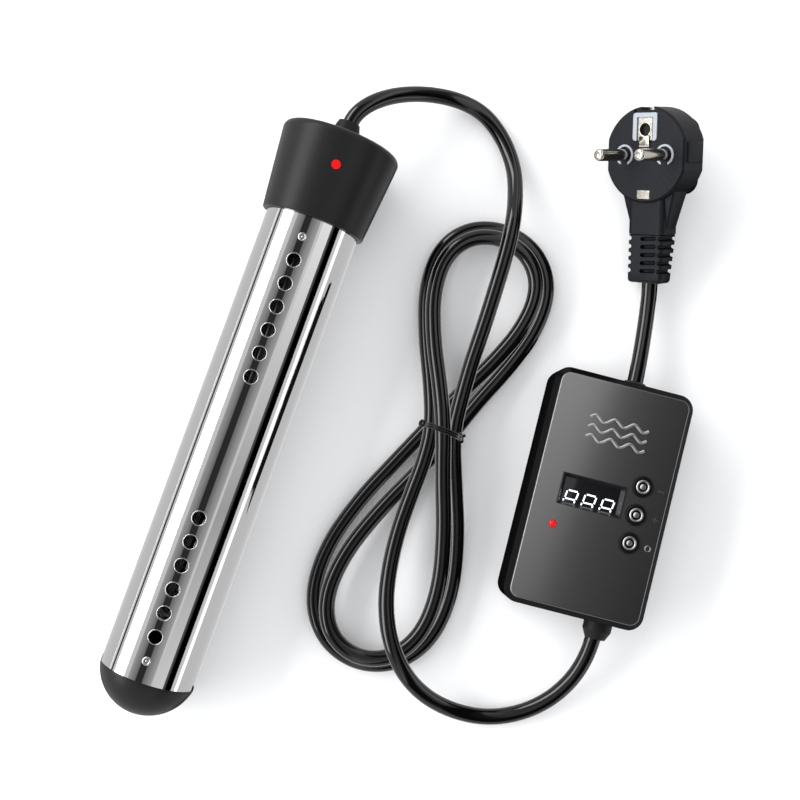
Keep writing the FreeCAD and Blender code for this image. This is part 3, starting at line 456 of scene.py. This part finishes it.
def block(place, size, turn=(0, 0, 0), rounding=0.0):
    bpy.ops.mesh.primitive_cube_add(size=1, location=[c * MM for c in place], rotation=turn)
    made = bpy.context.object
    made.scale = [c * MM for c in size]
    bpy.ops.object.transform_apply(location=False, rotation=False, scale=True)
    if rounding:
        soften(made, rounding)
    return made


def rod(place, radius, length, turn=(0, 0, 0)):
    bpy.ops.mesh.primitive_cylinder_add(vertices=32, radius=radius * MM, depth=length * MM,
                                        location=[c * MM for c in place], rotation=turn)
    return bpy.context.object


def ball(place, radius, flatness, turn=(0, 0, 0)):
    bpy.ops.mesh.primitive_uv_sphere_add(segments=24, ring_count=12, radius=radius * MM,
                                         location=[c * MM for c in place], rotation=turn)
    bpy.context.object.scale = (1, 1, flatness)
    return bpy.context.object


def soften(piece, width):
    """Rounds a piece's edges by a width in millimetres."""
    bpy.context.view_layer.objects.active = piece
    bpy.ops.object.modifier_add(type="BEVEL")
    piece.modifiers[-1].width = width * MM
    piece.modifiers[-1].segments = 3
    bpy.ops.object.modifier_apply(modifier=piece.modifiers[-1].name)


def joined(parts):
    """One object from several."""
    bpy.ops.object.select_all(action="DESELECT")
    for part in parts:
        part.select_set(True)
    bpy.context.view_layer.objects.active = parts[0]
    if len(parts) > 1:
        bpy.ops.object.join()
    return bpy.context.object


def cut(piece, tool):
    """Takes a tool's shape out of a piece."""
    bpy.context.view_layer.objects.active = piece
    bpy.ops.object.modifier_add(type="BOOLEAN")
    piece.modifiers[-1].object = tool
    piece.modifiers[-1].operation = "DIFFERENCE"
    bpy.ops.object.modifier_apply(modifier=piece.modifiers[-1].name)
    bpy.data.objects.remove(tool)


def place_piece(name, parts, where, slot, body="root", smooth=35):
    """Joins the parts, carries them to their place, freezes them and gives them their finish."""
    piece = joined(parts)
    piece.name = name
    bpy.ops.object.transform_apply(location=True, rotation=True, scale=True)
    piece.matrix_world = where
    bpy.ops.object.transform_apply(location=True, rotation=True, scale=True)
    bpy.ops.object.shade_smooth_by_angle(angle=math.radians(smooth))
    dress(piece, slot)
    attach(piece, body)
    bpy.ops.object.select_all(action="DESELECT")
    return piece


# %% [markdown]
# ## Water holes and eyelets
#
# A hole punched in thin polished steel has a rolled lip that shows as a bright line. Each is a thin
# torus half sunk in the tube. The guard is held by hollow rivets: a bright ring, a dark groove and a
# small crown in the middle.

# %% Rolled rims and dished eyelets
TUBE_R = 19.0
ROWS = [90, 210, 330]                  # the three rows of holes, in degrees round the tube
HOLE_PITCH = 9.55
RIM_R, RIM_WIRE = 2.8, 0.2
EYELET_R, EYELET_WIRE, EYELET_CROWN = 1.3, 0.42, 0.5
HOLE_STEPS = [side * step for side in (-1, 1) for step in range(3, 9)]


def on_tube(row, along, reach):
    """A point on the tube's outside and the turn that lays a ring flat on it there."""
    angle = math.radians(row)
    return (reach * math.cos(angle), along, reach * math.sin(angle)), (0, math.pi / 2 - angle, 0)


rims = []
for row in ROWS:
    for step in HOLE_STEPS:
        place, turn = on_tube(row, step * HOLE_PITCH, TUBE_R - 0.1)
        rims.append(ring(place, RIM_R, RIM_WIRE, turn))
place_piece("hole_rims", rims, HEATER, "guard_steel", smooth=80)

eyelets = []
for row in ROWS:
    for end in (-9, 9):
        place, turn = on_tube(row, end * HOLE_PITCH, TUBE_R + 0.1)
        eyelets.append(ring(place, EYELET_R, EYELET_WIRE, turn))
        eyelets.append(rod(on_tube(row, end * HOLE_PITCH, TUBE_R - 0.15)[0], EYELET_R, 0.5, turn))
        eyelets.append(ball(place, EYELET_CROWN, 0.7, turn))
guard_eyelets = place_piece("guard_eyelets", eyelets, HEATER, "dull_steel", smooth=60)
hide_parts("guard_rivets")

# %% [markdown]
# ## The face of the box
#
# The display shows three lit digits, of which the window's lower edge hides the feet. They lean a
# little, as seven-segment digits do. The buttons, the printed signs beside them and the pictogram
# above are generic: a ring and a dot on each button, minus, plus and a ring beside them, and three
# waves of water.

# %% Lit digits
DIGIT_LEFTS = [-13.7, -6.3, 1.1]
DIGIT_BOTTOM, DIGIT_MIDDLE, DIGIT_TOP = -4.45, -3.3, 0.1
DIGIT_WIDTH, DIGIT_BAR, DIGIT_LEAN = 4.5, 0.6, 0.14
DIGIT_HEIGHTS = (23.75, 23.9)          # the underside and the top of a lit bar


def stroke(start, end, width, low, high):
    """A straight bar lying in a face, from one point to another."""
    way = Vector(end) - Vector(start)
    middle = (Vector(end) + Vector(start)) / 2
    return block((middle.x, middle.y, (low + high) / 2), (way.length, width, high - low),
                 (0, 0, math.atan2(way.y, way.x)))


def digit_spot(left, across_share, height):
    """A point of a leaning digit, from a share of its width and a height."""
    return left + across_share * DIGIT_WIDTH + DIGIT_LEAN * (height - DIGIT_BOTTOM), height


# each lit bar of a digit: the share of the width and the height where it starts, then where it ends
SEGMENTS = [(0.1, DIGIT_TOP, 0.9, DIGIT_TOP),
            (0.06, DIGIT_MIDDLE, 0.94, DIGIT_MIDDLE),
            (0, DIGIT_TOP - 0.35, 0, DIGIT_MIDDLE + 0.4),
            (1, DIGIT_TOP - 0.35, 1, DIGIT_MIDDLE + 0.4),
            (-0.04, DIGIT_MIDDLE - 0.35, -0.05, DIGIT_BOTTOM),
            (0.96, DIGIT_MIDDLE - 0.35, 0.95, DIGIT_BOTTOM)]
bars = []
for left in DIGIT_LEFTS:
    for start_share, start_height, end_share, end_height in SEGMENTS:
        start = digit_spot(left, start_share, start_height)
        end = digit_spot(left, end_share, end_height)
        bars.append(stroke(start, end, DIGIT_BAR, *DIGIT_HEIGHTS))
lit_digits = place_piece("lit_digits", bars, BOX, "display_segments")
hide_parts("display_digits")

# %% Marks on the buttons, signs beside them and the pictogram
BUTTON_X = 15.2
BUTTON_TOP = 26.8
BUTTONS = {"button_minus": 8.4, "button_plus": -3.0, "button_set": -14.4}
for body, y in BUTTONS.items():
    top = (BUTTON_X, y, BUTTON_TOP)
    place_piece("mark_" + body, [ring(top, 2.35, 0.42), ball(top, 1.15, 0.3)], BOX, "dull_steel", body, 60)

PRINT = (panel_top / MM - 0.05, panel_top / MM + 0.06)
SIGN_BAR = 0.42
signs = [stroke((21.6, 8.3), (23.9, 8.3), SIGN_BAR, *PRINT),
         stroke((21.9, -3.2), (24.3, -3.2), SIGN_BAR, *PRINT),
         stroke((23.1, -4.4), (23.1, -2.0), SIGN_BAR, *PRINT),
         ring((22.9, -14.8, panel_top / MM - 0.05), 1.1, 0.24)]
place_piece("panel_signs", signs, BOX, "dull_steel", smooth=40)

WAVE_LEVELS = (22.4, 26.4, 30.4)
WAVE_LEFT, WAVE_SWING, WAVE_WIRE = -11.6, 1.25, 0.62
waves = []
for level in WAVE_LEVELS:
    line = [(WAVE_LEFT + k, level + WAVE_SWING * math.sin(math.pi * k / 4), panel_top / MM)
            for k in range(25)]
    wave = route_curve("wave", line, WAVE_WIRE)
    bpy.ops.object.select_all(action="DESELECT")
    wave.select_set(True)
    bpy.context.view_layer.objects.active = wave
    bpy.ops.object.convert(target="MESH")
    waves.append(wave)
place_piece("water_pictogram", waves, BOX, "dull_steel", smooth=60)

# %% [markdown]
# ## The plug's sleeve and contacts
#
# The sleeve that saves the lead from kinking is a solid rubber block with rounded slots cut in its
# front and back and notches down both sides. The slots are cut out of the block, since ribs on a
# core would look like a stack of plates.

# %% Slotted sleeve
SLEEVE_TOP, SLEEVE_END, SLEEVE_Z = -31.6, -52.0, -7.5
SLOT_PITCH = 3.3
SLEEVE_WIDTH, SLEEVE_DEPTH = 16.4, 11.6
SLEEVE_HEEL = 0.33                     # how thick the back is at its end, as a share of the top
sleeve_length = SLEEVE_TOP - SLEEVE_END
sleeve = block((0, (SLEEVE_TOP + SLEEVE_END) / 2, SLEEVE_Z), (SLEEVE_WIDTH, sleeve_length, SLEEVE_DEPTH),
               rounding=1.6)
for corner in sleeve.data.vertices:
    share = min(1.0, max(0.0, (corner.co.y / MM + sleeve_length / 2) / sleeve_length))
    if corner.co.z < 0:
        corner.co.z *= SLEEVE_HEEL + (1 - SLEEVE_HEEL) * share
slots = []
for number in range(5):
    y = SLEEVE_TOP - 2.1 - SLOT_PITCH * number
    for front in (-1, 1):
        slots.append(block((1.9, y, SLEEVE_Z + front * 6.4), (7.6, 1.7, 5.6), (0, 0, 0.06), 0.8))
        slots.append(block((front * 8.9, y - 0.3, SLEEVE_Z), (5.4, 1.7, 16.0), (0, 0, -0.16 * front), 0.8))
cut(sleeve, joined(slots))
plug_sleeve = place_piece("plug_sleeve", [sleeve], PLUG, "plug_plastic", smooth=35)
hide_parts("plug_boot")

# %% Shoulders and side grips of the plug
SHOULDER_LOW, SHOULDER_HIGH = 8.6, 13.4
bpy.ops.mesh.primitive_cone_add(vertices=4, radius1=SHOULDER_LOW * MM * math.sqrt(2),
                                radius2=SHOULDER_HIGH * MM * math.sqrt(2), depth=19 * MM,
                                rotation=(0, 0, math.pi / 4))
shoulders = bpy.context.object
bpy.ops.object.transform_apply(location=False, rotation=True, scale=False)
shoulders.scale = (1, 0.42, 1)
shoulders.rotation_euler = (-math.pi / 2, 0, 0)
shoulders.location = (0, -20.5 * MM, -8.0 * MM)
bpy.ops.object.transform_apply(location=True, rotation=True, scale=True)
soften(shoulders, 0.9)
grips = [shoulders]
for side in (-1, 1):
    grips.append(block((side * 17.95, 1.0, -7.6), (1.8, 8.4, 11.0), rounding=0.5))
plug_shoulders = place_piece("plug_shoulders", grips, PLUG, "plug_plastic", smooth=35)

# %% Earth tongue, socket and pin tips
PIN_HALF = 9.5
PIN_TIP = 19.0
EARTH_Y = 10.0
tongue = [block((0, 5.3, 0.75), (4.6, 4.2, 0.5), (0.2, 0, 0), 0.2),
          rod((0, 3.4, 0.35), 0.5, 4.6, (0, math.pi / 2, 0)),
          ring((0, EARTH_Y, 0.3), 2.75, 0.3)]
earth_tongue = place_piece("earth_tongue", tongue, PLUG, "nickel_parts", smooth=50)
earth_dark = place_piece("earth_dark", [rod((0, EARTH_Y, -1.6), 2.44, 0.4)], PLUG, "black_rubber")
tips = [ring((side * PIN_HALF, 0, PIN_TIP - 0.75), 1.5, 0.62) for side in (-1, 1)]
pin_tips = place_piece("pin_tips", tips, PLUG, "nickel_parts", smooth=60)

nodes = frame["nodes"]
plug_pieces = [nodes[name] for name in ("mains_lead_gland", "plug_body", "plug_pins", "pin_collars",
                                        "earth_insert", "earth_contacts", "plug_back_grip")]
plug_pieces += [plug_sleeve, plug_shoulders, earth_tongue, earth_dark, pin_tips]

# %% [markdown]
# ## Studio
#
# Polished steel has no look of its own: it shows the room. A long soft light on the left gives the
# broad white band, and a wide card overhead, dark in the middle and fading lighter to its sides, draws
# the lines that make the tube look round. Two level cards close over the box, one bright and one
# dark, grade its satin face from upper left to lower right, and give the tube its right-hand bands.
# Black plastic seen along its side mirrors the pale floor and looks grey, so small black flags lie
# under the box, the caps and the plug. Cards and flags are seen in reflections only.

# %% Floor and cards
def stage_plane(name, place, width, length, material, tilt=0.0):
    """A plane that isn't part of the object, turned about Y by tilt degrees."""
    bpy.ops.mesh.primitive_plane_add(size=1, location=place, rotation=(0, math.radians(tilt), 0))
    plane = bpy.context.object
    plane.name = name
    plane.scale = (width, length, 1)
    plane.data.materials.append(material)
    plane.select_set(False)
    return plane


floor_paint = make_finish("floor", (0.93, 0.93, 0.93), 0.65, 30, 0.01, 0.03)
stage_plane("floor", (0, 0, 0), 6, 6, floor_paint.material)
TUBE_X, TUBE_HEIGHT = HEATER.translation.x, HEATER.translation.z


def glow_paint(name, low, high, share_of):
    """A surface that only glows, from one brightness to another by a share worked out on its own place."""
    paint = Paint(name, {"Base Color": (0, 0, 0, 1), "Specular IOR Level": 0.0, "Emission Strength": 1.0})
    spot = paint.node("ShaderNodeTexCoord", output="Object")
    split = paint.node("ShaderNodeSeparateXYZ", {}, {"Vector": spot}).socket.node
    u, v = Field(paint, split.outputs["X"]), Field(paint, split.outputs["Y"])
    paint.set("Emission Color", paint.blend([low] * 3, [high] * 3, share_of(u, v)))
    return paint.material


def card(plane):
    """Makes a plane show in reflections only."""
    plane.visible_camera = False
    plane.visible_diffuse = False
    plane.visible_shadow = False


def long_card(name, angle, span, distance, material):
    """A long card, seen from the tube at an angle from overhead, and this many degrees wide."""
    way = math.radians(angle)
    place = (TUBE_X + distance * math.sin(way), 0, TUBE_HEIGHT + distance * math.cos(way))
    width = 2 * distance * math.tan(math.radians(span / 2))
    card(stage_plane(name, place, width, 3.0, material, angle))


def near_card(name, left, right, material):
    """A level card close over the box, from one side to the other, in millimetres."""
    card(stage_plane(name, ((left + right) / 2 * MM, 0, NEAR_HEIGHT), (right - left) * MM, 1.2, material))


NEAR_HEIGHT = 0.15
dark = glow_paint("dark_card", 0.03, 0.05, lambda u, v: u + 0.5)
fading = glow_paint("fading_card", 0.04, 0.62,
                    lambda u, v: (u.sum("ABSOLUTE", u + 0.03) > 0.13) * (u.sum("ABSOLUTE",
                                                                               u + 0.03) * 1.7 + 0.1))
bright = glow_paint("bright_card", 0.45, 1.9, lambda u, v: u.sum("ABSOLUTE", v * 4 + 0.17) + 0.1)
dim = glow_paint("dim_card", 0.18, 0.0, lambda u, v: u * 5 + 2.5)
long_card("card_low_left", -84, 5, 1.3, dark)
long_card("card_overhead", -6, 58, 1.3, fading)
near_card("card_near_left", -10, 78, bright)
near_card("card_near_right", 78, 330, dim)
pale = glow_paint("pale_card", 0.86, 0.90, lambda u, v: u + 0.5)
card(stage_plane("card_floor", (0, 0, 0.1 * MM), 1.4, 1.0, pale))
black = glow_paint("black_card", 0.0, 0.01, lambda u, v: u + 0.5)
for name, place, width, length, turn in [("flag_box", box_middle, 76, 116, BOX_TURN),
                                         ("flag_cap", Vector((TUBE_X, 0.108, 0)), 74, 40, 0.0),
                                         ("flag_plug", Vector((0.068, 0.15, 0)), 84, 84, 0.0),
                                         ("flag_end", Vector((TUBE_X, -0.119, 0)), 62, 22, 0.0)]:
    flag = stage_plane(name, (place.x, place.y, 0.2 * MM), width * MM, length * MM, black)
    flag.rotation_euler.z = turn
    card(flag)


# %% Lights and surroundings
def soft_box(name, angle, span, distance, length, power):
    """A long soft light, placed as a long card is."""
    way = math.radians(angle)
    place = Vector((TUBE_X + distance * math.sin(way), 0, TUBE_HEIGHT + distance * math.cos(way)))
    bpy.ops.object.light_add(type="AREA", location=place, rotation=(0, way, 0))
    lamp = bpy.context.object
    lamp.name = name
    lamp.data.shape = "RECTANGLE"
    lamp.data.size = 2 * distance * math.tan(math.radians(span / 2))
    lamp.data.size_y = length
    lamp.data.energy = power
    lamp.visible_camera = False
    return lamp


soft_box("light_left", -60, 27, 1.0, 2.2, 24)
soft_box("light_low_right", 88, 10, 1.2, 2.0, 2.5)
world = bpy.data.worlds.new("room")
bpy.context.scene.world = world
world.use_nodes = True
room = world.node_tree.nodes["Background"]
room.inputs["Color"].default_value = (0.97, 0.98, 1.0, 1)
room.inputs["Strength"].default_value = 1.0
